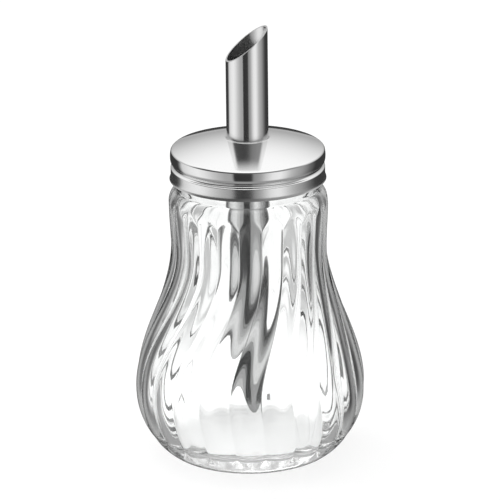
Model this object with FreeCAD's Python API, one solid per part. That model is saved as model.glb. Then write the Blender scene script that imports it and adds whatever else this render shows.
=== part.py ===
"""Sugar shaker: a swirled, lobed glass jar, a domed steel lid and a steel pouring tube.

Frame: millimetres, +Z up, origin at the centre of the foot on the table.  The low lip of the
tube's pouring mouth faces -X.
"""
import FreeCAD, Part
import math
import os

# ---- glass jar: outline over the crests of the lobes -------------------------------------------
BELLY_RADIUS = 36.8
BELLY_HEIGHT = 22.0
FOOT_CURVE_REACH = 20.0      # radial semi-axis of the elliptical curve from foot to belly
FOOT_CURVE_SINK = 2.0        # its vertical semi-axis is the belly's height and this much more
NECK_RADIUS = 22.8           # plain glass neck that the lid sits on
SHOULDER_STEP = 2.6          # how far the shoulder stands out past the neck
SHOULDER_HEIGHT = 83.0
SHOULDER_ROUND = 7.0         # radius of the plain shoulder that turns in under the lid
NECK_LEDGE = 0.25            # step where the shoulder meets the neck
WAIST_DIP = 0.55             # how far the waist lies inside the shoulder
WAIST_DROP = 14.0            # how far the waist lies below the shoulder
PUNT_RADIUS = 20.5           # shallow hollow under the foot
PUNT_DEPTH = 0.6

# ---- glass jar: swirled lobes ------------------------------------------------------------------
LOBE_COUNT = 22
BELLY_LOBE_DEPTH = 0.95      # crest to valley
NECK_LOBE_DEPTH = 0.62
SWIRL_LOBES = 1.25           # how many lobes each lobe leans over from the belly up to the waist
SWIRL_RISE = 6.0             # how far above the belly's widest level the lean begins
FOOT_SWIRL_LOBES = -0.18     # ... and from the foot up to the belly, the other way
FOOT_SWIRL_START = 5.0       # height at which that lean begins
LOBE_TURN = -0.04            # turn of all the lobes, in lobes
FOOT_LOBE_START = 2.8        # the crests run down to here ...
FOOT_LOBE_FULL = 8.0         # ... and the valleys to here
NECK_LOBE_RISE = 2.3         # the crests end this far above the shoulder's widest level ...
NECK_LOBE_FADE = 4.0         # ... and the valleys this far below the crests' ends
LOBE_END_BLEND = 0.08        # softness of the crease round the lobe ends, as a depth
LOBE_FADE_BLEND = 0.12       # softness of the start of the fade, as a share of it

# ---- glass jar: inside -------------------------------------------------------------------------
JAR_WALL = 2.6
FLOOR_HEIGHT = 7.0
FLOOR_ROUND_RISE = 3.0       # height and width of the rounded corner round the inner floor
FLOOR_ROUND_REACH = 3.7
NECK_WALL = 2.8
BORE_RISE = 8.0              # the bore has narrowed to the neck this far above the shoulder

# ---- steel lid ---------------------------------------------------------------------------------
LID_THICKNESS = 0.5
LID_RISE = 8.1               # from the shoulder's widest level up to the skirt's lower edge
HEM_FLARE = 0.4              # the skirt's bottom edge turns out by this much
HEM_HEIGHT = 0.7
GROOVE_RISE = 4.95           # from the skirt's lower edge to the middle of the groove round it
GROOVE_HALF_WIDTH = 1.0
GROOVE_DEPTH = 0.9
BEAD_BULGE = 0.15            # the band above the groove swells by this much
DOME_EDGE_RISE = 9.9         # from the skirt's lower edge to where the rounded edge meets the dome
EDGE_ROUND = 0.9
DOME_RADIUS = 73.0
COLLAR_THICKNESS = 0.45      # lip round the tube
COLLAR_HEIGHT = 0.8

# ---- steel pouring tube ------------------------------------------------------------------------
TUBE_RADIUS = 6.65
TUBE_WALL = 0.5
MOUTH_RISE = 34.2            # from the dome's edge to the slanted top end, on the tube's axis
MOUTH_SLANT = 38.6           # degrees from level
MOUTH_DIRECTION = 180.0      # compass direction that the mouth faces, from +X towards +Y
INTAKE_HEIGHT = 29.6         # slanted lower end, measured on the tube's axis
INTAKE_SLANT = 70.0
INTAKE_DIRECTION = 118.0

# ---- fits --------------------------------------------------------------------------------------
LID_FIT_CLEARANCE = 0.2      # between the groove inside the lid and the neck
LID_SEAT_CLEARANCE = 0.1     # between the dome's underside and the rim
TUBE_FIT_CLEARANCE = 0.04    # between the tube and the lid's hole

# ---- sizes and places that follow --------------------------------------------------------------
SHOULDER_RADIUS = NECK_RADIUS + SHOULDER_STEP
WAIST_RADIUS = SHOULDER_RADIUS - WAIST_DIP
WAIST_HEIGHT = SHOULDER_HEIGHT - WAIST_DROP
FOOT_CURVE_DEPTH = BELLY_HEIGHT + FOOT_CURVE_SINK
SWIRL_START = BELLY_HEIGHT + SWIRL_RISE
NECK_LOBE_END = SHOULDER_HEIGHT + NECK_LOBE_RISE
NECK_LOBE_FULL = NECK_LOBE_END - NECK_LOBE_FADE
NECK_BORE = NECK_RADIUS - NECK_WALL
NECK_BORE_HEIGHT = SHOULDER_HEIGHT + BORE_RISE
SKIRT_RADIUS = NECK_RADIUS + LID_FIT_CLEARANCE + LID_THICKNESS + GROOVE_DEPTH
LID_BOTTOM = SHOULDER_HEIGHT + LID_RISE
GROOVE_HEIGHT = LID_BOTTOM + GROOVE_RISE
DOME_EDGE_HEIGHT = LID_BOTTOM + DOME_EDGE_RISE
EDGE_CENTRE_RADIUS = SKIRT_RADIUS - EDGE_ROUND
DOME_CENTRE = DOME_EDGE_HEIGHT - math.sqrt(DOME_RADIUS ** 2 - EDGE_CENTRE_RADIUS ** 2)
HOLE_RADIUS = TUBE_RADIUS + TUBE_FIT_CLEARANCE
MOUTH_HEIGHT = DOME_EDGE_HEIGHT + MOUTH_RISE
Z_AXIS = FreeCAD.Vector(0, 0, 1)
ORIGIN = FreeCAD.Vector(0, 0, 0)


def smooth_step(value, start, end):
    """0 before start, 1 after end, and an S-curve between."""
    share = min(max((value - start) / (end - start), 0.0), 1.0)
    return share * share * (3.0 - 2.0 * share)


def below_belly(height, inset):
    """Radius of the curve from the belly down to the foot, or of the one that lies inset inside."""
    drop = (BELLY_HEIGHT - height) / (FOOT_CURVE_DEPTH - inset)
    return BELLY_RADIUS - FOOT_CURVE_REACH + (FOOT_CURVE_REACH - inset) * math.sqrt(1.0 - drop * drop)


def crest_radius(height):
    """Outer radius of the jar over the crests of its lobes."""
    if height < BELLY_HEIGHT:
        return below_belly(height, 0.0)
    if height < WAIST_HEIGHT:
        blend = smooth_step(height, BELLY_HEIGHT, WAIST_HEIGHT)
        return BELLY_RADIUS + (WAIST_RADIUS - BELLY_RADIUS) * blend
    if height < SHOULDER_HEIGHT:
        blend = smooth_step(height, WAIST_HEIGHT, SHOULDER_HEIGHT)
        return WAIST_RADIUS + (SHOULDER_RADIUS - WAIST_RADIUS) * blend
    rise = height - SHOULDER_HEIGHT
    return SHOULDER_RADIUS - SHOULDER_ROUND + math.sqrt(SHOULDER_ROUND ** 2 - rise * rise)


def shoulder_top():
    """Height at which the rounded shoulder reaches the ledge of the neck."""
    drop = SHOULDER_RADIUS - NECK_RADIUS - NECK_LEDGE
    return SHOULDER_HEIGHT + math.sqrt(SHOULDER_ROUND ** 2 - (SHOULDER_ROUND - drop) ** 2)


def soft_minimum(first, second, softness):
    """The smaller of two depths, with the corner between them rounded."""
    gap = first - second
    return 0.5 * (first + second - math.sqrt(gap * gap + softness * softness) + softness)


def lobe_depth(across, height):
    """How far the surface lies inside the crest; across runs from -0.5 to 0.5 over a lobe."""
    full = BELLY_LOBE_DEPTH
    full += (NECK_LOBE_DEPTH - BELLY_LOBE_DEPTH) * smooth_step(height, BELLY_HEIGHT, WAIST_HEIGHT)
    at_foot = (height - FOOT_LOBE_START) / (FOOT_LOBE_FULL - FOOT_LOBE_START)
    at_neck = (NECK_LOBE_END - height) / (NECK_LOBE_END - NECK_LOBE_FULL)
    ramp = min(at_foot, at_neck)
    fade = full * 0.5 * (ramp + math.sqrt(ramp * ramp + LOBE_FADE_BLEND ** 2))
    return soft_minimum(full * (2.0 * across) ** 2, fade, LOBE_END_BLEND)


def swirl(height):
    """Turn of the lobes at a height, in lobes."""
    below = FOOT_SWIRL_LOBES * smooth_step(height, FOOT_SWIRL_START, SWIRL_START)
    return LOBE_TURN + below + SWIRL_LOBES * smooth_step(height, SWIRL_START, WAIST_HEIGHT)


def jar_point(across, height):
    """A point on the outer surface of the first lobe."""
    angle = 2.0 * math.pi / LOBE_COUNT * (across + swirl(height))
    radius = crest_radius(height) - lobe_depth(across, height)
    return FreeCAD.Vector(radius * math.cos(angle), radius * math.sin(angle), height)


def steps(start, end, count):
    """Evenly spaced values from start to just before end."""
    return [start + (end - start) * index / count for index in range(count)]


def lobe_heights():
    """Heights of the sections through a lobe, close together at its rounded ends."""
    top = shoulder_top()
    foot_blend = FOOT_LOBE_FULL + 2.0
    neck_blend = NECK_LOBE_FULL - 2.0
    heights = steps(0.0, foot_blend, 13)
    heights += steps(foot_blend, neck_blend, 26)
    heights += steps(neck_blend, top, 14)
    return heights + [top]


def curve_through(points, parameters):
    """A smooth curve that passes each point at its own parameter."""
    curve = Part.BSplineCurve()
    curve.interpolate(Points=points, Parameters=parameters)
    return curve


def lobe_face():
    """The outer surface of one lobe, from valley to valley and from foot to neck."""
    across_steps = [index / 10.0 - 0.5 for index in range(11)]
    heights = lobe_heights()
    rails = []
    for across in across_steps:
        rails.append(curve_through([jar_point(across, height) for height in heights], heights))
    ribs = []
    for poles in zip(*[rail.getPoles() for rail in rails]):
        ribs.append(curve_through(list(poles), across_steps))
    net = [list(column) for column in zip(*[rib.getPoles() for rib in ribs])]
    rib = ribs[0]
    rail = rails[0]
    surface = Part.BSplineSurface()
    surface.buildFromPolesMultsKnots(net, rib.getMultiplicities(), rail.getMultiplicities(),
                                     rib.getKnots(), rail.getKnots(), False, False,
                                     rib.Degree, rail.Degree)
    return surface.toShape()


def end_face(faces, height):
    """The flat face that closes the lobed body at one of its two levels."""
    edges = []
    for face in faces:
        for edge in face.Edges:
            box = edge.BoundBox
            if abs(box.ZMin - height) < 0.01 and abs(box.ZMax - height) < 0.01:
                edges.append(edge)
    return Part.Face(Part.Wire(Part.__sortEdges__(edges)))


def lobed_body():
    """The solid inside the lobed outer surface."""
    first = lobe_face()
    pitch = 360.0 / LOBE_COUNT
    faces = []
    for number in range(LOBE_COUNT):
        face = first.copy()
        face.rotate(ORIGIN, Z_AXIS, number * pitch)
        faces.append(face)
    ends = [end_face(faces, 0.0), end_face(faces, shoulder_top())]
    shell = Part.makeShell(faces + ends)
    shell.sewShape()
    return Part.makeSolid(shell)


def revolved(edges):
    """The solid swept by a closed outline turned about the Z axis."""
    face = Part.Face(Part.Wire(edges))
    return face.revolve(ORIGIN, Z_AXIS, 360.0)


def outline_point(radius, height):
    """A point of an outline that is drawn in the XZ plane."""
    return FreeCAD.Vector(radius, 0.0, height)


def line(start, end):
    """A straight edge."""
    return Part.LineSegment(start, end).toShape()


def spline(points):
    """A smooth edge through points."""
    curve = Part.BSplineCurve()
    curve.interpolate(points)
    return curve.toShape()


def inner_radius(height):
    """Radius of the jar's inside above the corner round its floor."""
    if height < BELLY_HEIGHT:
        return below_belly(height, JAR_WALL)
    if height < SHOULDER_HEIGHT:
        return crest_radius(height) - JAR_WALL
    start = SHOULDER_RADIUS - JAR_WALL
    return start + (NECK_BORE - start) * smooth_step(height, SHOULDER_HEIGHT, NECK_BORE_HEIGHT)


def cavity():
    """The inside of the jar: flat floor, rounded corner, soft pear shape and straight bore."""
    wall_foot = below_belly(FLOOR_HEIGHT, JAR_WALL)
    corner_top = FLOOR_HEIGHT + FLOOR_ROUND_RISE
    heights = steps(corner_top, NECK_BORE_HEIGHT, 28) + [NECK_BORE_HEIGHT]
    side = [outline_point(inner_radius(height), height) for height in heights]
    floor_edge = outline_point(wall_foot - FLOOR_ROUND_REACH, FLOOR_HEIGHT)
    corner = Part.BezierCurve()
    corner.setPoles([floor_edge, outline_point(wall_foot, FLOOR_HEIGHT), side[0]])
    open_top = rim_height() + 1.0
    axis_bottom = outline_point(0.0, FLOOR_HEIGHT)
    axis_top = outline_point(0.0, open_top)
    bore_top = outline_point(NECK_BORE, open_top)
    return revolved([line(axis_bottom, floor_edge), corner.toShape(), spline(side),
                     line(side[-1], bore_top), line(bore_top, axis_top), line(axis_top, axis_bottom)])


def dome_height(radius, inset=0.0):
    """Height of the lid's dome, or of the surface that lies inset below it."""
    return DOME_CENTRE + math.sqrt((DOME_RADIUS - inset) ** 2 - radius * radius)


def rim_height():
    """Top of the glass rim, just under the lid."""
    return dome_height(NECK_RADIUS, LID_THICKNESS) - LID_SEAT_CLEARANCE


def make_jar():
    """Glass jar: lobed outside, plain neck, smooth inside, and a shallow hollow under the foot."""
    neck_base = SHOULDER_HEIGHT
    neck = Part.makeCylinder(NECK_RADIUS, rim_height() - neck_base, outline_point(0.0, neck_base))
    punt_ball = (PUNT_RADIUS ** 2 + PUNT_DEPTH ** 2) / (2.0 * PUNT_DEPTH)
    punt = Part.makeSphere(punt_ball, outline_point(0.0, PUNT_DEPTH - punt_ball))
    return lobed_body().fuse(neck).cut(cavity()).cut(punt)


def lid_edge(inset):
    """Start, middle and end of the rounding from the band to the dome, at an inset."""
    centre_height = dome_height(EDGE_CENTRE_RADIUS, EDGE_ROUND)
    rounding = EDGE_ROUND - inset
    turn = math.acos(EDGE_CENTRE_RADIUS / (DOME_RADIUS - EDGE_ROUND))
    points = []
    for angle in (0.0, 0.5 * turn, turn):
        points.append(outline_point(EDGE_CENTRE_RADIUS + rounding * math.cos(angle),
                                    centre_height + rounding * math.sin(angle)))
    return points


def lid_side(inset):
    """Edges of the lid's side from its bottom to the dome, with the wall's inset taken off."""
    skirt = SKIRT_RADIUS - inset
    edge_points = lid_edge(inset)
    band_end = edge_points[0]
    groove_top = GROOVE_HEIGHT + GROOVE_HALF_WIDTH
    bottom = outline_point(skirt + HEM_FLARE, LID_BOTTOM)
    hem = outline_point(skirt, LID_BOTTOM + HEM_HEIGHT)
    low = outline_point(skirt, GROOVE_HEIGHT - GROOVE_HALF_WIDTH)
    deep = outline_point(skirt - GROOVE_DEPTH, GROOVE_HEIGHT)
    high = outline_point(skirt, groove_top)
    middle = outline_point(skirt + BEAD_BULGE, 0.5 * (groove_top + band_end.z))
    return [line(bottom, hem), line(hem, low), Part.Arc(low, deep, high).toShape(),
            Part.Arc(high, middle, band_end).toShape(), Part.Arc(*edge_points).toShape()]


def dome_arc(start_radius, end_radius, inset):
    """An arc of the dome between two radii."""
    middle_radius = 0.5 * (start_radius + end_radius)
    radii = [start_radius, middle_radius, end_radius]
    points = [outline_point(radius, dome_height(radius, inset)) for radius in radii]
    return Part.Arc(*points).toShape()


def make_lid():
    """Pressed steel lid: skirt, groove, rounded band, dome, and a lip round the tube."""
    outer_top = dome_arc(lid_edge(0.0)[-1].x, HOLE_RADIUS, 0.0)
    inner_top = dome_arc(lid_edge(LID_THICKNESS)[-1].x, HOLE_RADIUS, LID_THICKNESS)
    hem_line = line(outline_point(SKIRT_RADIUS + HEM_FLARE, LID_BOTTOM),
                    outline_point(SKIRT_RADIUS + HEM_FLARE - LID_THICKNESS, LID_BOTTOM))
    hole_line = line(outline_point(HOLE_RADIUS, dome_height(HOLE_RADIUS)),
                     outline_point(HOLE_RADIUS, dome_height(HOLE_RADIUS, LID_THICKNESS)))
    edges = lid_side(0.0) + lid_side(LID_THICKNESS) + [outer_top, inner_top, hole_line, hem_line]
    shell = revolved(Part.__sortEdges__(edges))
    collar_base = outline_point(0.0, dome_height(HOLE_RADIUS + COLLAR_THICKNESS, LID_THICKNESS))
    collar_rise = dome_height(HOLE_RADIUS) + COLLAR_HEIGHT - collar_base.z
    ring = Part.makeCylinder(HOLE_RADIUS + COLLAR_THICKNESS, collar_rise, collar_base)
    hole = Part.makeCylinder(HOLE_RADIUS, collar_rise, collar_base)
    return shell.fuse(ring.cut(hole)).removeSplitter()


def slant_block(height, slant, direction, above):
    """Block beyond a slanted cut: the cut faces a direction and crosses the axis at a height."""
    size = 12.0 * TUBE_RADIUS    # well past the tube on every side
    corner = FreeCAD.Vector(-0.5 * size, -0.5 * size, 0.0 if above else -size)
    block = Part.makeBox(size, size, size, corner)
    block.rotate(ORIGIN, FreeCAD.Vector(0, 1, 0), slant if above else -slant)
    block.rotate(ORIGIN, Z_AXIS, direction)
    block.translate(FreeCAD.Vector(0, 0, height))
    return block


def make_tube():
    """Thin steel tube with both ends cut on a slant."""
    length = MOUTH_HEIGHT + 2.0 * TUBE_RADIUS
    tube = Part.makeCylinder(TUBE_RADIUS, length)
    tube = tube.cut(Part.makeCylinder(TUBE_RADIUS - TUBE_WALL, length))
    tube = tube.cut(slant_block(MOUTH_HEIGHT, MOUTH_SLANT, MOUTH_DIRECTION, True))
    return tube.cut(slant_block(INTAKE_HEIGHT, INTAKE_SLANT, INTAKE_DIRECTION, False))


def export(name, shape):
    """Write one piece, which has to be a single sound solid."""
    solids = shape.Solids
    if len(solids) != 1 or not shape.isValid():
        raise RuntimeError(f"{name}: {len(solids)} solids, valid {shape.isValid()}")
    solids[0].exportStep(f"parts/{name}.step")
    box = shape.BoundBox
    print(f"{name}: {shape.Volume:.1f} mm3, z {box.ZMin:.2f} to {box.ZMax:.2f}")


os.makedirs("parts", exist_ok=True)
export("jar", make_jar())
export("lid", make_lid())
export("pour_tube", make_tube())
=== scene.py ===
"""Looks of the sugar shaker: a swirled glass jar, a domed steel lid and a slant-cut pouring tube.

Everything is in metres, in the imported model's frame: +Z up, the foot's centre at the origin, and
the low lip of the pouring mouth facing -X.
"""
import math

import bpy
from bpy.props import FloatProperty, FloatVectorProperty, IntProperty, PointerProperty
from mathutils import Matrix, Vector


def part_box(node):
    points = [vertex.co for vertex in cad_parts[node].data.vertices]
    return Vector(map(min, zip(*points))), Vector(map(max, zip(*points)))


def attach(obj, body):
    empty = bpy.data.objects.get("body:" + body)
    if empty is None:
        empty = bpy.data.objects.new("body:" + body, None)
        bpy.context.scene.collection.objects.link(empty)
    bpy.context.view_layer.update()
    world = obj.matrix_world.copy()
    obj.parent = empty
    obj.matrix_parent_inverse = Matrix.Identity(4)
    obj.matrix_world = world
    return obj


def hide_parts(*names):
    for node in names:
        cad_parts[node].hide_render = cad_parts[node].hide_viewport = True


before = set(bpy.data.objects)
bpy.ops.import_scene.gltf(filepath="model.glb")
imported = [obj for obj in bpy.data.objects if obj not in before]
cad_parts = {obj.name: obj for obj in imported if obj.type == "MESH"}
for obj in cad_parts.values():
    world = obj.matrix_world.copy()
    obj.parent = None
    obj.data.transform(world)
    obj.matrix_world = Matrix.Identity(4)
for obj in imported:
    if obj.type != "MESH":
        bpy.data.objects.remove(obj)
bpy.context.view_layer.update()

bl_info = {
    "name": "Sugar Shaker",
    "version": (1, 0, 0),
    "blender": (4, 5, 0),
    "location": "3D View > Sidebar > Shaker",
    "description": "Builds a swirled glass sugar shaker with a steel lid and pouring tube",
    "category": "Add Mesh",
}

JAR_LOW, JAR_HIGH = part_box("jar")
LID_LOW, LID_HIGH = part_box("lid")
TUBE_LOW, TUBE_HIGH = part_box("pour_tube")
BODY = "root"
MM = 0.001
TUBE_GAP = 0.04 * MM           # between the tube and the lid's hole
GLASS_EDGE = 0.5 * MM          # rounding of the rim's two edges
NECK_LEDGE = 0.25 * MM         # step where the shoulder meets the neck
LOBE_END_BLEND = 0.08 * MM     # softness of the crease round the ends of the lobes
LOBE_FADE_BLEND = 0.12         # softness of the start of their fade, as a share of it
FULL_CIRCLE = 2.0 * math.pi


# ---- sizes and colours that a user would change ------------------------------------------------

def length(name, description, default):
    """A size property, shown in the scene's length unit."""
    return FloatProperty(name=name, description=description, default=default, min=0.0,
                         unit="LENGTH", subtype="DISTANCE", precision=5)


def turn(name, description, degrees):
    """An angle property."""
    return FloatProperty(name=name, description=description, default=math.radians(degrees),
                         unit="ROTATION", subtype="ANGLE")


def colour(name, description, default):
    """A colour property."""
    return FloatVectorProperty(name=name, description=description, default=default, size=3,
                               min=0.0, max=1.0, subtype="COLOR")


class JarSettings(bpy.types.PropertyGroup):
    """Sizes and tint of the glass jar."""
    belly_radius: length("Belly radius", "Over the crests, at the widest level", JAR_HIGH[0])
    belly_height: length("Belly height", "Height of the widest level", 22.0 * MM)
    foot_reach: length("Foot curve reach", "Radial half-axis of the curve below the belly", 20.0 * MM)
    foot_depth: length("Foot curve depth", "Upright half-axis of the curve below the belly", 24.0 * MM)
    foot_radius: length("Foot radius", "Where the foot's flat ring begins to turn up", 23.2 * MM)
    waist_height: length("Waist height", "Height of the narrowest level of the body", 69.0 * MM)
    waist_dip: length("Waist dip", "How far the waist lies inside the shoulder", 0.55 * MM)
    shoulder_height: length("Shoulder height", "Where the shoulder is widest", 83.0 * MM)
    shoulder_round: length("Shoulder rounding", "Radius of the plain shoulder", 7.0 * MM)
    shoulder_step: length("Shoulder step", "How far the shoulder stands out past the neck", 2.6 * MM)
    neck_radius: length("Neck radius", "Plain neck under the lid", 22.8 * MM)
    neck_wall: length("Neck wall", "Thickness of the glass at the neck", 2.8 * MM)
    wall: length("Wall", "Thickness of the glass under the crests", 2.6 * MM)
    floor_height: length("Floor height", "Thickness of the glass at the bottom", 7.0 * MM)
    floor_radius: length("Floor radius", "Flat part of the inner floor", 25.5 * MM)
    floor_round: length("Floor rounding", "Height of the inner corner round the floor", 3.0 * MM)
    punt_radius: length("Punt radius", "Hollow under the foot", 20.5 * MM)
    punt_depth: length("Punt depth", "Depth of the hollow under the foot", 0.6 * MM)
    lobe_count: IntProperty(name="Lobes", description="Lobes round the jar", default=22, min=3)
    belly_lobe_depth: length("Belly lobe depth", "Crest to valley at the belly", 0.95 * MM)
    neck_lobe_depth: length("Neck lobe depth", "Crest to valley at the neck", 0.62 * MM)
    lean: FloatProperty(name="Lean", description="Lobes that each lobe passes from the belly up",
                        default=1.25)
    foot_lean: FloatProperty(name="Foot lean", default=-0.18,
                             description="Lobes that each lobe passes from the foot to the belly")
    turned: FloatProperty(name="Turn", description="Turn of all the lobes, in lobes", default=-0.04)
    tint: colour("Glass tint", "Colour that the clear glass lets through", (0.985, 0.99, 0.988))


class LidSettings(bpy.types.PropertyGroup):
    """Sizes and colour of the steel lid."""
    thickness: length("Sheet", "Thickness of the pressed steel", 0.5 * MM)
    hem_flare: length("Hem flare", "How far the lower edge turns out", 0.4 * MM)
    hem_height: length("Hem height", "Height of the turned edge", 0.7 * MM)
    groove_rise: length("Groove rise", "From the lower edge to the middle of the groove", 4.95 * MM)
    groove_half_width: length("Groove half width", "Half the width of the groove", 1.0 * MM)
    groove_depth: length("Groove depth", "Depth of the groove round the skirt", 0.9 * MM)
    bead_bulge: length("Band bulge", "Swell of the band above the groove", 0.15 * MM)
    dome_rise: length("Dome edge rise", "From the lower edge to the edge of the dome", 9.9 * MM)
    edge_round: length("Edge rounding", "Radius between the band and the dome", 0.9 * MM)
    dome_radius: length("Dome radius", "Radius of the domed top", 73.0 * MM)
    collar_thickness: length("Collar thickness", "Width of the lip round the tube", 0.25 * MM)
    collar_height: length("Collar height", "Height of the lip round the tube", 0.22 * MM)
    steel: colour("Steel", "Colour of the brushed steel", (0.80, 0.80, 0.80))


class TubeSettings(bpy.types.PropertyGroup):
    """Sizes and colour of the pouring tube."""
    wall: length("Wall", "Thickness of the tube", 0.5 * MM)
    mouth_slant: turn("Mouth slant", "Angle of the pouring mouth from level", 38.6)
    mouth_direction: turn("Mouth direction", "Compass direction that the mouth faces", 180.0)
    intake_slant: turn("Intake slant", "Angle of the lower end from level", 70.0)
    intake_direction: turn("Intake direction", "Compass direction that the lower end faces", 118.0)
    steel: colour("Steel", "Colour of the polished steel", (0.80, 0.80, 0.80))


class StageSettings(bpy.types.PropertyGroup):
    """Camera and floor."""
    azimuth: turn("Camera azimuth", "Turn of the camera about the shaker", -9.2)
    elevation: turn("Camera elevation", "How far the camera looks down", 19.24)
    roll: turn("Camera roll", "Lean of the camera about its line of sight", -0.63)
    distance: length("Camera distance", "From the camera to the point it looks at", 1.5)
    aim_height: length("Aim height", "Height of the point that the camera looks at", 66.8 * MM)
    aim_shift: FloatProperty(name="Aim shift", description="Of that point, to the camera's right",
                             default=0.39 * MM, unit="LENGTH", subtype="DISTANCE", precision=5)
    lens: FloatProperty(name="Lens", description="Focal length in millimetres", default=340.2)
    floor: colour("Floor", "Colour of the plain floor", (0.95, 0.95, 0.95))


# ---- outlines ----------------------------------------------------------------------------------

def smooth_step(value, start, end):
    """0 before start, 1 after end, and an S-curve between."""
    share = min(max((value - start) / (end - start), 0.0), 1.0)
    return share * share * (3.0 - 2.0 * share)


def spread(start, end, count):
    """Evenly spaced values from start up to, but without, end."""
    return [start + (end - start) * index / count for index in range(count)]


def arc(centre, radius, first, last, count):
    """Outline points on an arc, with angles in degrees from straight out."""
    points = []
    for index in range(count + 1):
        angle = math.radians(first + (last - first) * index / count)
        points.append((centre[0] + radius * math.cos(angle), centre[1] + radius * math.sin(angle)))
    return points


def bend(start, corner, end, count):
    """Outline points on a soft bend from start to end that is drawn towards corner."""
    points = []
    for index in range(count + 1):
        share = index / count
        rest = 1.0 - share
        points.append(tuple(rest * rest * a + 2.0 * rest * share * b + share * share * c
                            for a, b, c in zip(start, corner, end)))
    return points


def below_belly(jar, height, inset):
    """Radius of the curve from the belly down to the foot, or of the one that lies inset inside."""
    drop = (jar.belly_height - height) / (jar.foot_depth - inset)
    return jar.belly_radius - jar.foot_reach + (jar.foot_reach - inset) * math.sqrt(1.0 - drop * drop)


def crest_radius(jar, height):
    """Outer radius of the jar over the crests of its lobes."""
    shoulder = jar.neck_radius + jar.shoulder_step
    waist = shoulder - jar.waist_dip
    if height < jar.belly_height:
        return below_belly(jar, height, 0.0)
    if height < jar.waist_height:
        blend = smooth_step(height, jar.belly_height, jar.waist_height)
        return jar.belly_radius + (waist - jar.belly_radius) * blend
    if height < jar.shoulder_height:
        return waist + jar.waist_dip * smooth_step(height, jar.waist_height, jar.shoulder_height)
    rise = height - jar.shoulder_height
    return shoulder - jar.shoulder_round + math.sqrt(jar.shoulder_round ** 2 - rise * rise)


def jar_outside(jar):
    """Outline of the jar from the middle of its underside to the outer edge of its rim."""
    punt_ball = (jar.punt_radius ** 2 + jar.punt_depth ** 2) / (2.0 * jar.punt_depth)
    outline = []
    for radius in spread(0.0, jar.punt_radius - 0.3 * MM, 14):
        outline.append((radius, jar.punt_depth - punt_ball + math.sqrt(punt_ball ** 2 - radius ** 2)))
    foot_top = 1.3 * MM
    outline += bend(outline[-1], (jar.punt_radius, 0.0), (jar.punt_radius + 0.5 * MM, 0.0), 5)[1:]
    outline += bend((jar.foot_radius, 0.0), (crest_radius(jar, 0.0) + 0.1 * MM, 0.0),
                    (crest_radius(jar, foot_top), foot_top), 10)
    ledge = jar.shoulder_step - NECK_LEDGE
    top = jar.shoulder_height + math.sqrt(jar.shoulder_round ** 2 - (jar.shoulder_round - ledge) ** 2)
    heights = spread(foot_top, 8.0 * MM, 18)[1:] + spread(8.0 * MM, 78.0 * MM, 62)
    heights += spread(78.0 * MM, top, 26)
    outline += [(crest_radius(jar, height), height) for height in heights]
    outline += bend((jar.neck_radius + NECK_LEDGE, top), (jar.neck_radius, top + 0.1 * MM),
                    (jar.neck_radius, top + 0.5 * MM), 5)
    rim = JAR_HIGH[2]
    outline += [(jar.neck_radius, height) for height in spread(top + 1.0 * MM, rim - GLASS_EDGE, 4)]
    outline += arc((jar.neck_radius - GLASS_EDGE, rim - GLASS_EDGE), GLASS_EDGE, 0.0, 90.0, 5)
    return outline


def jar_inside(jar):
    """Outline of the jar from the inner edge of its rim to the middle of its floor."""
    bore = jar.neck_radius - jar.neck_wall
    bore_height = jar.shoulder_height + 8.0 * MM
    shoulder = jar.neck_radius + jar.shoulder_step - jar.wall
    outline = arc((bore + GLASS_EDGE, JAR_HIGH[2] - GLASS_EDGE), GLASS_EDGE, 90.0, 180.0, 5)
    for height in spread(JAR_HIGH[2] - 1.0 * MM, bore_height, 3):
        outline.append((bore, height))
    for height in spread(bore_height, jar.shoulder_height, 10):
        narrowing = smooth_step(height, jar.shoulder_height, bore_height)
        outline.append((shoulder + (bore - shoulder) * narrowing, height))
    for height in spread(jar.shoulder_height, jar.belly_height, 34):
        outline.append((crest_radius(jar, height) - jar.wall, height))
    corner = jar.floor_height + jar.floor_round
    for height in spread(jar.belly_height, corner, 16):
        outline.append((below_belly(jar, height, jar.wall), height))
    outline += bend((below_belly(jar, corner, jar.wall), corner),
                    (below_belly(jar, jar.floor_height, jar.wall), jar.floor_height),
                    (jar.floor_radius, jar.floor_height), 12)
    outline += [(radius, jar.floor_height) for radius in spread(jar.floor_radius, 0.0, 8)[1:]]
    return outline + [(0.0, jar.floor_height)]


def dome_height(lid, radius, inset):
    """Height of the lid's dome, or of the surface that lies inset below it."""
    edge = LID_HIGH[0] - lid.hem_flare - lid.edge_round
    centre = LID_LOW[2] + lid.dome_rise - math.sqrt(lid.dome_radius ** 2 - edge ** 2)
    return centre + math.sqrt((lid.dome_radius - inset) ** 2 - radius ** 2)


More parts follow.
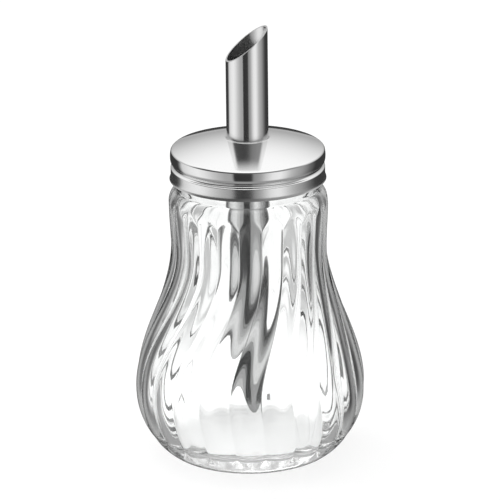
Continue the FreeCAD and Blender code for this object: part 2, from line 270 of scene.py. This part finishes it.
def lid_side(lid, inset):
    """Outline of the lid's side from its lower edge to the dome, with an inset taken off."""
    skirt = LID_HIGH[0] - lid.hem_flare - inset
    groove = LID_LOW[2] + lid.groove_rise
    edge_radius = LID_HIGH[0] - lid.hem_flare - lid.edge_round
    edge_height = dome_height(lid, edge_radius, lid.edge_round)
    rounding = lid.edge_round - inset
    half = lid.groove_half_width
    deep = skirt - lid.groove_depth
    crease = 0.12 * MM
    outline = bend((skirt, LID_LOW[2] + lid.hem_height + 1.2 * MM), (skirt, LID_LOW[2] + lid.hem_height),
                   (skirt + lid.hem_flare, LID_LOW[2] + crease), 7)[::-1]
    outline.append((skirt, groove - half - 0.5 * MM))
    outline += bend((skirt, groove - half - crease), (skirt, groove - half),
                    (skirt - crease, groove - half + crease), 3)
    outline += bend((skirt - crease, groove - half + crease), (deep, groove - 0.45 * half),
                    (deep, groove), 6)[1:]
    outline += bend((deep, groove), (deep, groove + 0.5 * half),
                    (skirt - 0.35 * lid.groove_depth, groove + 0.75 * half), 6)[1:]
    band_low = groove + half + 0.25 * MM
    outline += bend((skirt - 0.35 * lid.groove_depth, groove + 0.75 * half),
                    (skirt, groove + half), (skirt + 0.1 * lid.bead_bulge, band_low), 7)[1:]
    for height in spread(band_low, edge_height, 10)[1:]:
        share = (height - groove - half) / (edge_height - groove - half)
        outline.append((skirt + lid.bead_bulge * 4.0 * share * (1.0 - share), height))
    slope = math.degrees(math.acos(edge_radius / (lid.dome_radius - lid.edge_round)))
    return outline + arc((edge_radius, edge_height), rounding, 0.0, slope, 8)


def lid_outline(lid, tube_radius):
    """Closed outline of the lid: up the outside, over the lip round the tube, and down inside."""
    hole = tube_radius + TUBE_GAP
    lip = hole + lid.collar_thickness
    outer = lid_side(lid, 0.0)
    inner = lid_side(lid, lid.thickness)
    fillet = 0.12 * MM
    foot_of_lip = lip + fillet
    lip_base = dome_height(lid, lip, 0.0)
    top = lip_base + lid.collar_height
    dome = [(radius, dome_height(lid, radius, 0.0))
            for radius in spread(outer[-1][0], foot_of_lip, 24)[1:]]
    roll = 0.08 * MM
    lip_side = bend((foot_of_lip, dome_height(lid, foot_of_lip, 0.0)), (lip, lip_base),
                    (lip, lip_base + fillet), 4)
    lip_top = arc((lip - roll, top - roll), roll, 0.0, 90.0, 5)
    lip_top += arc((hole + roll, top - roll), roll, 90.0, 180.0, 5)
    under = [(radius, dome_height(lid, radius, lid.thickness))
             for radius in spread(hole, inner[-1][0], 12)]
    return outer + dome + lip_side + lip_top + under + inner[::-1]


# ---- meshes ------------------------------------------------------------------------------------

def mesh_object(name, verts, faces):
    """A new mesh object at the origin, linked to the scene."""
    mesh = bpy.data.meshes.new(name)
    mesh.from_pydata(verts, [], faces)
    mesh.validate()
    obj = bpy.data.objects.new(name, mesh)
    bpy.context.scene.collection.objects.link(obj)
    return obj


def ring_faces(rings, count, closed):
    """Four-sided faces between rings of count points, and back to the first ring if closed."""
    faces = []
    for ring in range(rings if closed else rings - 1):
        low = ring * count
        high = (ring + 1) % rings * count
        for index in range(count):
            after = (index + 1) % count
            faces.append((low + index, low + after, high + after, high + index))
    return faces


def turned(name, outline, angles, closed):
    """A mesh made by turning an outline about the Z axis through a full circle.

    A closed outline is a ring of points, and an open one starts and ends on the axis.
    """
    verts = []
    count = len(angles)
    rings = outline if closed else outline[1:-1]
    for radius, height in rings:
        verts += [(radius * math.cos(angle), radius * math.sin(angle), height) for angle in angles]
    faces = ring_faces(len(rings), count, closed)
    if not closed:
        for ring, point in ((0, outline[0]), (len(rings) - 1, outline[-1])):
            pole = len(verts)
            verts.append((0.0, 0.0, point[1]))
            start = ring * count
            for index in range(count):
                after = (index + 1) % count
                pair = (start + after, start + index) if ring == 0 else (start + index, start + after)
                faces.append(pair + (pole,))
    return mesh_object(name, verts, faces)


def smooth(obj, sharp_degrees):
    """Smooth shading with edges kept sharp past an angle."""
    for polygon in obj.data.polygons:
        polygon.use_smooth = True
    obj.data.set_sharp_from_angle(angle=math.radians(sharp_degrees))


# ---- node trees --------------------------------------------------------------------------------

class Graph:
    """Short ways to add nodes to a tree and link them, set out from left to right."""

    def __init__(self, tree):
        self.tree = tree
        self.count = 0
        tree.nodes.clear()

    def add(self, kind, **settings):
        node = self.tree.nodes.new(kind)
        node.location = (190.0 * (self.count // 6), -180.0 * (self.count % 6))
        self.count += 1
        for key, value in settings.items():
            setattr(node, key, value)
        return node

    def feed(self, socket, value):
        """Link a socket, or set a plain value."""
        if isinstance(value, bpy.types.NodeSocket):
            self.tree.links.new(value, socket)
        else:
            socket.default_value = value

    def maths(self, operation, *values):
        node = self.add("ShaderNodeMath", operation=operation)
        for socket, value in zip(node.inputs, values):
            self.feed(socket, value)
        return node.outputs[0]

    def smooth_step(self, value, start, end):
        node = self.add("ShaderNodeMapRange", interpolation_type="SMOOTHSTEP")
        for name, given in (("Value", value), ("From Min", start), ("From Max", end)):
            self.feed(node.inputs[name], given)
        return node.outputs["Result"]

    def mix(self, share, first, second):
        node = self.add("ShaderNodeMix", data_type="FLOAT")
        for socket, value in zip(node.inputs[:1] + node.inputs[2:4], (share, first, second)):
            self.feed(socket, value)
        return node.outputs[0]

    def soft_minimum(self, first, second, softness):
        gap = self.maths("SUBTRACT", first, second)
        squares = self.maths("ADD", self.maths("MULTIPLY", gap, gap),
                             self.maths("MULTIPLY", softness, softness))
        total = self.maths("ADD", self.maths("ADD", first, second), softness)
        return self.maths("MULTIPLY", self.maths("SUBTRACT", total, self.maths("SQRT", squares)), 0.5)


def lobe_tree():
    """Geometry Nodes that press leaning lobes into a turned body.

    The body's "outside" attribute is 1 where the lobes go.  Its edges run straight up, and the
    tree first presses the lobes between them and then leans every edge over.
    """
    tree = bpy.data.node_groups.new("Leaning Lobes", "GeometryNodeTree")
    tree.is_modifier = True
    inputs = (("Geometry", "NodeSocketGeometry", None), ("Lobe Count", "NodeSocketInt", 22),
              ("Belly Lobe Depth", "NodeSocketFloat", 0.95 * MM),
              ("Neck Lobe Depth", "NodeSocketFloat", 0.62 * MM),
              ("Belly Height", "NodeSocketFloat", 22.0 * MM),
              ("Waist Height", "NodeSocketFloat", 69.0 * MM),
              ("Turn", "NodeSocketFloat", -0.04), ("Foot Lean", "NodeSocketFloat", -0.18),
              ("Foot Lean Start", "NodeSocketFloat", 5.0 * MM),
              ("Foot Lean End", "NodeSocketFloat", 28.0 * MM), ("Lean", "NodeSocketFloat", 1.25),
              ("Lean Start", "NodeSocketFloat", 28.0 * MM), ("Lean End", "NodeSocketFloat", 69.0 * MM),
              ("Foot Start", "NodeSocketFloat", 2.8 * MM), ("Foot Full", "NodeSocketFloat", 8.0 * MM),
              ("Neck Full", "NodeSocketFloat", 81.3 * MM), ("Neck End", "NodeSocketFloat", 85.3 * MM),
              ("Valley Softness", "NodeSocketFloat", 0.08),
              ("Belly Inner Ripple", "NodeSocketFloat", 0.3 * MM),
              ("Neck Inner Ripple", "NodeSocketFloat", 0.2 * MM),
              ("Material", "NodeSocketMaterial", None))
    for name, kind, default in inputs:
        socket = tree.interface.new_socket(name=name, in_out="INPUT", socket_type=kind)
        if default is not None:
            socket.default_value = default
    tree.interface.new_socket(name="Geometry", in_out="OUTPUT", socket_type="NodeSocketGeometry")
    graph = Graph(tree)
    given = graph.add("NodeGroupInput").outputs
    place = graph.add("ShaderNodeSeparateXYZ")
    tree.links.new(graph.add("GeometryNodeInputPosition").outputs[0], place.inputs[0])
    x, y, height = place.outputs
    outside = graph.add("GeometryNodeInputNamedAttribute", data_type="FLOAT")
    outside.inputs["Name"].default_value = "outside"
    is_outside = outside.outputs["Attribute"]

    radius = graph.maths("SQRT", graph.maths("ADD", graph.maths("MULTIPLY", x, x),
                                             graph.maths("MULTIPLY", y, y)))
    angle = graph.maths("ARCTAN2", y, x)
    pitch = graph.maths("DIVIDE", FULL_CIRCLE, given["Lobe Count"])
    place_in_lobe = graph.maths("ADD", graph.maths("DIVIDE", angle, pitch), 0.5)
    across = graph.maths("ABSOLUTE", graph.maths("SUBTRACT", graph.maths("FRACT", place_in_lobe), 0.5))
    near = graph.maths("MULTIPLY", across, 2.0)
    far = graph.maths("SUBTRACT", 2.0, near)
    shape = graph.soft_minimum(graph.maths("MULTIPLY", near, near), graph.maths("MULTIPLY", far, far),
                               given["Valley Softness"])

    up_body = graph.smooth_step(height, given["Belly Height"], given["Waist Height"])
    full = graph.mix(up_body, given["Belly Lobe Depth"], given["Neck Lobe Depth"])
    at_foot = graph.maths("DIVIDE", graph.maths("SUBTRACT", height, given["Foot Start"]),
                          graph.maths("SUBTRACT", given["Foot Full"], given["Foot Start"]))
    at_neck = graph.maths("DIVIDE", graph.maths("SUBTRACT", given["Neck End"], height),
                          graph.maths("SUBTRACT", given["Neck End"], given["Neck Full"]))
    ramp = graph.maths("MINIMUM", at_foot, at_neck)
    ramp_squared = graph.maths("ADD", graph.maths("MULTIPLY", ramp, ramp), LOBE_FADE_BLEND ** 2)
    eased = graph.maths("MULTIPLY", graph.maths("ADD", ramp, graph.maths("SQRT", ramp_squared)), 0.5)
    fade = graph.maths("MULTIPLY", full, eased)
    pressed = graph.soft_minimum(graph.maths("MULTIPLY", full, shape), fade, LOBE_END_BLEND)
    depth = graph.maths("MULTIPLY", pressed, is_outside)

    wave = graph.maths("COSINE", graph.maths("MULTIPLY", across, FULL_CIRCLE))
    ripple_height = graph.mix(up_body, given["Belly Inner Ripple"], given["Neck Inner Ripple"])
    ripple = graph.maths("MULTIPLY", graph.maths("MULTIPLY", wave, ripple_height),
                         graph.maths("SUBTRACT", 1.0, is_outside))
    share = graph.maths("MINIMUM", graph.maths("MAXIMUM", graph.maths("DIVIDE", ramp, 4.0), 0.0), 1.0)
    new_radius = graph.maths("ADD", graph.maths("SUBTRACT", radius, depth),
                             graph.maths("MULTIPLY", ripple, share))
    above = graph.maths("MULTIPLY", graph.smooth_step(height, given["Lean Start"], given["Lean End"]),
                        given["Lean"])
    below = graph.maths("MULTIPLY", given["Foot Lean"],
                        graph.smooth_step(height, given["Foot Lean Start"], given["Foot Lean End"]))
    lobes = graph.maths("ADD", given["Turn"], graph.maths("ADD", above, below))
    new_angle = graph.maths("ADD", angle, graph.maths("MULTIPLY", lobes, pitch))
    joined = graph.add("ShaderNodeCombineXYZ")
    graph.feed(joined.inputs[0], graph.maths("MULTIPLY", new_radius, graph.maths("COSINE", new_angle)))
    graph.feed(joined.inputs[1], graph.maths("MULTIPLY", new_radius, graph.maths("SINE", new_angle)))
    graph.feed(joined.inputs[2], height)

    moved = graph.add("GeometryNodeSetPosition")
    graph.feed(moved.inputs["Geometry"], given["Geometry"])
    graph.feed(moved.inputs["Position"], joined.outputs[0])
    realized = graph.add("GeometryNodeRealizeInstances")
    graph.feed(realized.inputs["Geometry"], moved.outputs["Geometry"])
    dressed = graph.add("GeometryNodeSetMaterial")
    graph.feed(dressed.inputs["Geometry"], realized.outputs["Geometry"])
    graph.feed(dressed.inputs["Material"], given["Material"])
    graph.feed(graph.add("NodeGroupOutput").inputs[0], dressed.outputs["Geometry"])
    return tree


def with_nodes(obj, tree, values):
    """Run a Geometry Nodes tree on an object and keep its result as the object's plain mesh."""
    modifier = obj.modifiers.new(tree.name, "NODES")
    modifier.node_group = tree
    for item in tree.interface.items_tree:
        if item.item_type == "SOCKET" and item.in_out == "INPUT" and item.name in values:
            modifier[item.identifier] = values[item.name]
    evaluated = obj.evaluated_get(bpy.context.evaluated_depsgraph_get())
    mesh = bpy.data.meshes.new_from_object(evaluated)
    obj.modifiers.remove(modifier)
    old = obj.data
    obj.data = mesh
    mesh.name = obj.name
    bpy.data.meshes.remove(old)


# ---- materials ---------------------------------------------------------------------------------

def new_material(name):
    """A material, its graph, its Principled shader and its output."""
    material = bpy.data.materials.new(name)
    material.use_nodes = True
    graph = Graph(material.node_tree)
    output = graph.add("ShaderNodeOutputMaterial")
    shader = graph.add("ShaderNodeBsdfPrincipled")
    graph.feed(output.inputs["Surface"], shader.outputs[0])
    return material, graph, shader, output


def object_noise(graph, scale, stretch, detail=2.0):
    """Noise on the object's own coordinates, stretched along its axes."""
    mapping = graph.add("ShaderNodeMapping")
    mapping.inputs["Scale"].default_value = stretch
    graph.feed(mapping.inputs["Vector"], graph.add("ShaderNodeTexCoord").outputs["Object"])
    noise = graph.add("ShaderNodeTexNoise")
    noise.inputs["Scale"].default_value = scale
    noise.inputs["Detail"].default_value = detail
    graph.feed(noise.inputs["Vector"], mapping.outputs[0])
    return noise.outputs["Fac"]


def glass_material(tint):
    """Clear pressed glass with the faint waves of a mould, which lets lamps through."""
    material, graph, shader, output = new_material("Clear Pressed Glass")
    shader.inputs["Base Color"].default_value = (*tint, 1.0)
    shader.inputs["Transmission Weight"].default_value = 1.0
    shader.inputs["IOR"].default_value = 1.5
    place = graph.add("ShaderNodeSeparateXYZ")
    graph.feed(place.inputs[0], graph.add("ShaderNodeTexCoord").outputs["Object"])
    stipple = graph.maths("MULTIPLY", graph.smooth_step(place.outputs[2], 0.9 * MM, 0.6 * MM), 0.35)
    graph.feed(shader.inputs["Roughness"], stipple)
    bump = graph.add("ShaderNodeBump")
    bump.inputs["Strength"].default_value = 0.25
    bump.inputs["Distance"].default_value = 0.25 * MM
    graph.feed(bump.inputs["Height"], object_noise(graph, 130.0, (1.0, 1.0, 0.5), 1.0))
    graph.feed(shader.inputs["Normal"], bump.outputs[0])
    clear = graph.add("ShaderNodeBsdfTransparent")
    clear.inputs["Color"].default_value = (0.9, 0.9, 0.9, 1.0)
    mix = graph.add("ShaderNodeMixShader")
    graph.feed(mix.inputs[0], graph.add("ShaderNodeLightPath").outputs["Is Shadow Ray"])
    graph.feed(mix.inputs[1], shader.outputs[0])
    graph.feed(mix.inputs[2], clear.outputs[0])
    graph.feed(output.inputs["Surface"], mix.outputs[0])
    return material


def steel_material(name, steel, roughness, streaks, brushed_below, dull_within):
    """Polished steel with fine drawn marks.

    It is brushed and duller below a height, and duller too within a radius of the Z axis.
    """
    material, graph, shader, output = new_material(name)
    shader.inputs["Base Color"].default_value = (*steel, 1.0)
    shader.inputs["Metallic"].default_value = 1.0
    marks = object_noise(graph, 1.0, streaks, 3.0)
    clouds = object_noise(graph, 60.0, (1.0, 1.0, 1.0), 2.0)
    spread_marks = graph.maths("MULTIPLY", graph.maths("SUBTRACT", marks, 0.5), 0.06)
    spread_clouds = graph.maths("MULTIPLY", graph.maths("SUBTRACT", clouds, 0.5), 0.03)
    place = graph.add("ShaderNodeSeparateXYZ")
    graph.feed(place.inputs[0], graph.add("ShaderNodeTexCoord").outputs["Object"])
    brushed = graph.smooth_step(place.outputs[2], brushed_below, brushed_below - 0.3 * MM)
    from_axis = graph.maths("SQRT", graph.maths("ADD", graph.maths("POWER", place.outputs[0], 2.0),
                                                graph.maths("POWER", place.outputs[1], 2.0)))
    inside = graph.smooth_step(from_axis, dull_within, dull_within - 0.1 * MM)
    duller = graph.maths("ADD", graph.maths("MULTIPLY", brushed, 0.12),
                         graph.maths("MULTIPLY", inside, 0.14))
    base = graph.maths("ADD", roughness, duller)
    graph.feed(shader.inputs["Roughness"],
               graph.maths("ADD", base, graph.maths("ADD", spread_marks, spread_clouds)))
    bump = graph.add("ShaderNodeBump")
    bump.inputs["Strength"].default_value = 0.06
    bump.inputs["Distance"].default_value = 0.02 * MM
    graph.feed(bump.inputs["Height"], marks)
    graph.feed(shader.inputs["Normal"], bump.outputs[0])
    return material


# ---- stage -------------------------------------------------------------------------------------

def camera_frame(stage):
    """The camera's place and its right, up and back directions."""
    azimuth, elevation = stage.azimuth, stage.elevation
    back = Vector((math.sin(azimuth) * math.cos(elevation), -math.cos(azimuth) * math.cos(elevation),
                   math.sin(elevation)))
    right = Vector((math.cos(azimuth), math.sin(azimuth), 0.0))
    up = back.cross(right)
    aim = right * stage.aim_shift + Vector((0.0, 0.0, stage.aim_height))
    lean_right = right * math.cos(stage.roll) + up * math.sin(stage.roll)
    lean_up = up * math.cos(stage.roll) - right * math.sin(stage.roll)
    return aim + back * stage.distance, lean_right, lean_up, back


def add_camera(stage):
    """The camera, looking down at the shaker through a long lens."""
    data = bpy.data.cameras.new("Camera")
    data.lens = stage.lens
    data.sensor_width = 36.0
    data.clip_start = 0.05
    data.clip_end = 30.0
    place, right, up, back = camera_frame(stage)
    camera = bpy.data.objects.new("Camera", data)
    camera.matrix_world = Matrix((
        (right.x, up.x, back.x, place.x), (right.y, up.y, back.y, place.y),
        (right.z, up.z, back.z, place.z), (0.0, 0.0, 0.0, 1.0)))
    bpy.context.scene.collection.objects.link(camera)
    bpy.context.scene.camera = camera


# Brightness of the studio round the shaker: degrees from the front, to its right, and level.
STEEL_STUDIO = ((-180, 0.7), (-158, 0.6), (-142, 0.15), (-132, 0.15), (-114, 0.95), (-95, 1.2),
                (-79, 1.3), (-66, 1.15), (-53, 0.88), (-42, 0.70), (-34, 0.58), (-23, 0.54),
                (-20, 0.05), (5, 0.06), (9, 0.38), (19, 0.54), (26, 0.85), (36, 1.2), (48, 1.28),
                (57, 1.05), (66, 0.75), (76, 0.58), (88, 0.45), (104, 0.2), (120, 0.06), (133, 0.06),
                (150, 0.42), (165, 0.65), (180, 0.7))
FRONT_ABOVE = ((-180, 0.3), (-110, 0.2), (-60, 0.12), (-20, 0.10), (0, 0.14), (30, 0.35), (70, 0.45),
               (110, 0.35), (180, 0.3))
GLASS_STUDIO = ((-180, 1.15), (-169, 1.15), (-166, 0.2), (-161, 0.2), (-157, 1.1), (-150, 1.0),
                (-142, 0.10), (-118, 0.10), (-108, 0.9), (-40, 1.0), (-22, 0.35), (10, 0.35),
                (24, 1.0), (56, 1.0), (66, 0.6), (92, 0.5), (100, 0.10), (138, 0.10), (148, 1.0),
                (157, 1.1), (161, 0.2), (166, 0.2), (169, 1.15), (180, 1.15))


def studio_ramp(graph, share, levels):
    """A ramp of brightness round the studio; share runs from 0 to 1 from back to back."""
    ramp = graph.add("ShaderNodeValToRGB")
    brightest = max(level for _, level in levels)
    elements = ramp.color_ramp.elements
    while len(elements) > 1:
        elements.remove(elements[-1])
    for index, (degrees, level) in enumerate(levels):
        position = (degrees + 180.0) / 360.0
        element = elements[0] if index == 0 else elements.new(position)
        element.position = position
        shade = level / brightest
        element.color = (shade, shade, shade, 1.0)
    graph.feed(ramp.inputs[0], share)
    return graph.maths("MULTIPLY", ramp.outputs[0], brightest)


def turn_share(graph, x, y, front):
    """0 to 1 round the shaker from the back, over its left, the front and its right."""
    angle = graph.maths("SUBTRACT", graph.maths("ARCTAN2", y, x), front)
    turns = graph.maths("ADD", graph.maths("DIVIDE", angle, FULL_CIRCLE), 0.5)
    return graph.maths("FRACT", turns)


def add_world(stage):
    """A white studio with dark flags, which only steel and glass see, and each in its own way.

    Steel sees its own ring of lights, and in open air a dark ground behind it; glass sees another.
    """
    world = bpy.data.worlds.new("Studio")
    world.use_nodes = True
    bpy.context.scene.world = world
    graph = Graph(world.node_tree)
    direction = graph.add("ShaderNodeSeparateXYZ")
    graph.feed(direction.inputs[0], graph.add("ShaderNodeTexCoord").outputs["Generated"])
    x, y, height = direction.outputs
    front = stage.azimuth - 0.5 * math.pi
    share = turn_share(graph, x, y, front)
    path = graph.add("ShaderNodeLightPath").outputs
    glass = graph.mix(graph.smooth_step(height, 0.30, 0.75), studio_ramp(graph, share, GLASS_STUDIO), 1.45)
    backward = graph.maths("SUBTRACT", graph.maths("MULTIPLY", y, -math.sin(front)),
                           graph.maths("MULTIPLY", x, math.cos(front)))
    behind = graph.smooth_step(backward, -0.15, 0.25)
    low = graph.mix(graph.smooth_step(height, -0.62, -0.42), 0.45, studio_ramp(graph, share, STEEL_STUDIO))
    open_air = graph.maths("LESS_THAN", path["Transmission Depth"], 0.5)
    far_behind = graph.smooth_step(backward, 0.35, 0.60)
    dark_behind = graph.maths("MULTIPLY", graph.maths("MULTIPLY", far_behind, open_air),
                              graph.smooth_step(height, 0.0, -0.04))
    low = graph.mix(dark_behind, low, 0.06)
    above = graph.mix(graph.smooth_step(height, -0.05, 0.80), 0.50, 1.5)
    before = graph.mix(graph.smooth_step(height, 0.71, 0.88), studio_ramp(graph, share, FRONT_ABOVE), 1.7)
    above = graph.mix(behind, before, above)
    steel = graph.mix(graph.smooth_step(height, -0.02, 0.10), low, above)
    is_steel = graph.maths("GREATER_THAN", path["Glossy Depth"], 0.5)
    level = graph.mix(is_steel, glass, steel)
    level = graph.mix(path["Is Diffuse Ray"], level, 1.0)
    level = graph.mix(path["Is Camera Ray"], level, 1.0)
    background = graph.add("ShaderNodeBackground")
    graph.feed(background.inputs["Strength"], level)
    output = graph.add("ShaderNodeOutputWorld")
    graph.feed(output.inputs["Surface"], background.outputs[0])


def floor_material(stage):
    """Plain white floor that keeps a soft shadow.

    Through glass it glows with painted light: a painted bright pool near the foot and, further out, the
    studio's lights and dark flags painted on it, as bright as the studio there; reflections see through
    it.
    """
    material, graph, shader, output = new_material("Studio Floor")
    shader.inputs["Base Color"].default_value = (*stage.floor, 1.0)
    shader.inputs["Roughness"].default_value = 0.9
    shader.inputs["Specular IOR Level"].default_value = 0.0
    place = graph.add("ShaderNodeSeparateXYZ")
    graph.feed(place.inputs[0], graph.add("ShaderNodeTexCoord").outputs["Object"])
    x, y, _ = place.outputs
    share = turn_share(graph, x, y, stage.azimuth - 0.5 * math.pi)
    # Painted light: seen through glass, the floor shows the studio's lights and dark flags, painted by
    # direction round the shaker, and a painted bright pool near the foot.
    painted_studio_level = studio_ramp(graph, share, GLASS_STUDIO)
    reach = graph.maths("SQRT", graph.maths("ADD", graph.maths("MULTIPLY", x, x),
                                            graph.maths("MULTIPLY", y, y)))
    far = graph.smooth_step(reach, 0.06, 0.20)
    level = graph.mix(far, 1.5, painted_studio_level)
    path = graph.add("ShaderNodeLightPath").outputs
    level = graph.mix(path["Is Camera Ray"], level, 1.05)
    # Painted glow: the floor emits light for all but diffuse rays, plain white to the camera and painted
    # studio light through glass.
    white = graph.add("ShaderNodeEmission")
    graph.feed(white.inputs["Strength"], level)
    mix = graph.add("ShaderNodeMixShader")
    graph.feed(mix.inputs[0], graph.mix(path["Is Diffuse Ray"], 0.6, 0.0))
    graph.feed(mix.inputs[1], shader.outputs[0])
    graph.feed(mix.inputs[2], white.outputs[0])
    open_floor = graph.add("ShaderNodeMixShader")
    graph.feed(open_floor.inputs[0], graph.maths("GREATER_THAN", path["Glossy Depth"], 0.5))
    graph.feed(open_floor.inputs[1], mix.outputs[0])
    graph.feed(open_floor.inputs[2], graph.add("ShaderNodeBsdfTransparent").outputs[0])
    graph.feed(output.inputs["Surface"], open_floor.outputs[0])
    return material


def add_floor(stage):
    """A wide plain floor under the foot, which shows painted studio light through glass."""
    reach = 12.0
    level = JAR_LOW[2] - 0.02 * MM
    floor = mesh_object("studio_floor", [(-reach, -reach, level), (reach, -reach, level),
                                         (reach, reach, level), (-reach, reach, level)], [(0, 1, 2, 3)])
    floor.data.materials.append(floor_material(stage))
    floor.visible_glossy = False


def add_lamp(name, place, size, power):
    """A soft square lamp that faces the shaker."""
    data = bpy.data.lights.new(name, "AREA")
    data.size = size
    data.energy = power
    lamp = bpy.data.objects.new(name, data)
    lamp.location = place
    aim = Vector((0.0, 0.0, 0.07)) - Vector(place)
    lamp.rotation_euler = aim.to_track_quat("-Z", "Y").to_euler()
    lamp.visible_camera = False
    lamp.visible_glossy = False
    bpy.context.scene.collection.objects.link(lamp)


# ---- operators ---------------------------------------------------------------------------------

class BuildGlassJar(bpy.types.Operator):
    """Build the clear glass jar with its leaning lobes"""
    bl_idname = "shaker.glass_jar"
    bl_label = "Glass Jar"

    def execute(self, context):
        jar = context.scene.shaker_jar
        outer = jar_outside(jar)
        outline = outer + jar_inside(jar)
        columns = [-0.5, -0.485, -0.467, -0.445, -0.41, -0.36, -0.29, -0.2, -0.1,
                   0.0, 0.1, 0.2, 0.29, 0.36, 0.41, 0.445, 0.467, 0.485]
        pitch = FULL_CIRCLE / jar.lobe_count
        angles = [pitch * (lobe + column) for lobe in range(jar.lobe_count) for column in columns]
        body = turned("glass_jar", outline, angles, False)
        attribute = body.data.attributes.new("outside", "FLOAT", "POINT")
        outer_count = (len(outer) - 1) * len(angles)
        values = [1.0 if index < outer_count else 0.0 for index in range(len(body.data.vertices))]
        attribute.data.foreach_set("value", values)
        with_nodes(body, lobe_tree(), {
            "Lobe Count": jar.lobe_count, "Belly Lobe Depth": jar.belly_lobe_depth,
            "Neck Lobe Depth": jar.neck_lobe_depth, "Belly Height": jar.belly_height,
            "Waist Height": jar.waist_height, "Lean": jar.lean, "Foot Lean": jar.foot_lean,
            "Turn": jar.turned, "Lean End": jar.waist_height, "Material": glass_material(jar.tint)})
        smooth(body, 60.0)
        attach(body, BODY)
        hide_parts("jar")
        return {"FINISHED"}


class BuildSteelLid(bpy.types.Operator):
    """Build the pressed steel lid with its groove, rounded band, dome and lip"""
    bl_idname = "shaker.steel_lid"
    bl_label = "Steel Lid"

    def execute(self, context):
        settings = context.scene.shaker_lid
        outline = lid_outline(settings, TUBE_HIGH[0])
        lid = turned("steel_lid", outline, spread(0.0, FULL_CIRCLE, 288), True)
        smooth(lid, 50.0)
        groove_low = LID_LOW[2] + settings.groove_rise - settings.groove_half_width
        material = steel_material("Lid Steel", settings.steel, 0.08, (900.0, 900.0, 90.0),
                                  groove_low, 0.0)
        lid.data.materials.append(material)
        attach(lid, BODY)
        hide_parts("lid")
        return {"FINISHED"}


class BuildPouringTube(bpy.types.Operator):
    """Build the thin steel tube with both ends cut on a slant"""
    bl_idname = "shaker.pouring_tube"
    bl_label = "Pouring Tube"

    def execute(self, context):
        settings = context.scene.shaker_tube
        tube = tube_mesh(settings)
        smooth(tube, 30.0)
        middle_of_wall = TUBE_HIGH[0] - 0.5 * settings.wall
        material = steel_material("Tube Steel", settings.steel, 0.10, (1500.0, 1500.0, 60.0),
                                  -1.0, middle_of_wall)
        tube.data.materials.append(material)
        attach(tube, BODY)
        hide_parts("pour_tube")
        return {"FINISHED"}


def tube_mesh(settings):
    """The tube's mesh: outer and inner walls between two slanted ends with a fine rounded edge."""
    outer = TUBE_HIGH[0]
    inner = outer - settings.wall
    mouth_slope = math.tan(settings.mouth_slant)
    intake_slope = math.tan(settings.intake_slant)
    mouth = TUBE_HIGH[2] - outer * mouth_slope
    intake = TUBE_LOW[2] + outer * intake_slope
    round_edge = [(0.0, 0.30), (0.0, 0.12), (0.02, 0.05), (0.05, 0.02), (0.12, 0.0)]
    wall_edge = [(outer - inset * MM, drop * MM) for inset, drop in round_edge]
    wall_edge += [(inner + inset * MM, drop * MM) for inset, drop in reversed(round_edge)]
    rings = [(radius, 1.0, drop) for radius, drop in wall_edge]
    rings += [(inner, share, 0.0) for share in (0.95, 0.6, 0.3, 0.05)]
    rings += [(radius, 0.0, drop) for radius, drop in reversed(wall_edge)]
    rings += [(outer, share, 0.0) for share in (0.05, 0.3, 0.6, 0.95)]
    verts = []
    angles = spread(0.0, FULL_CIRCLE, 192)
    for radius, share, drop in rings:
        for angle in angles:
            top = mouth - radius * math.cos(angle - settings.mouth_direction) * mouth_slope
            low = intake + radius * math.cos(angle - settings.intake_direction) * intake_slope
            height = low + (top - low) * share + (drop if share < 0.5 else -drop)
            verts.append((radius * math.cos(angle), radius * math.sin(angle), height))
    return mesh_object("steel_tube", verts, ring_faces(len(rings), len(angles), True))


class BuildStage(bpy.types.Operator):
    """Add the camera, the plain floor, the studio and its soft lamp"""
    bl_idname = "shaker.stage"
    bl_label = "Stage"

    def execute(self, context):
        stage = context.scene.shaker_stage
        context.scene.view_settings.view_transform = "Standard"
        context.scene.cycles.max_bounces = 24
        context.scene.cycles.glossy_bounces = 16
        context.scene.cycles.transmission_bounces = 24
        add_camera(stage)
        add_world(stage)
        add_floor(stage)
        add_lamp("Overhead Lamp", (-0.25, 0.15, 1.1), 0.9, 6.0)
        return {"FINISHED"}


class ShakerPanel(bpy.types.Panel):
    """Sizes, colours and build steps of the sugar shaker"""
    bl_idname = "VIEW3D_PT_shaker"
    bl_label = "Sugar Shaker"
    bl_space_type = "VIEW_3D"
    bl_region_type = "UI"
    bl_category = "Shaker"

    def draw(self, context):
        for operator, settings in STEPS:
            box = self.layout.box()
            box.operator(operator.bl_idname)
            group = getattr(context.scene, settings)
            for name in group.bl_rna.properties.keys():
                if name not in ("rna_type", "name"):
                    box.prop(group, name)


SETTINGS = (("shaker_jar", JarSettings), ("shaker_lid", LidSettings),
            ("shaker_tube", TubeSettings), ("shaker_stage", StageSettings))
STEPS = ((BuildGlassJar, "shaker_jar"), (BuildSteelLid, "shaker_lid"),
         (BuildPouringTube, "shaker_tube"), (BuildStage, "shaker_stage"))
CLASSES = tuple(group for _, group in SETTINGS) + tuple(step for step, _ in STEPS) + (ShakerPanel,)


def register():
    for item in CLASSES:
        bpy.utils.register_class(item)
    for name, group in SETTINGS:
        setattr(bpy.types.Scene, name, PointerProperty(type=group))


def unregister():
    for name, _ in SETTINGS:
        delattr(bpy.types.Scene, name)
    for item in reversed(CLASSES):
        bpy.utils.unregister_class(item)


def main():
    """Build every piece and the stage."""
    register()
    bpy.ops.shaker.glass_jar()
    bpy.ops.shaker.steel_lid()
    bpy.ops.shaker.pouring_tube()
    bpy.ops.shaker.stage()


if __name__ == "__main__":
    main()
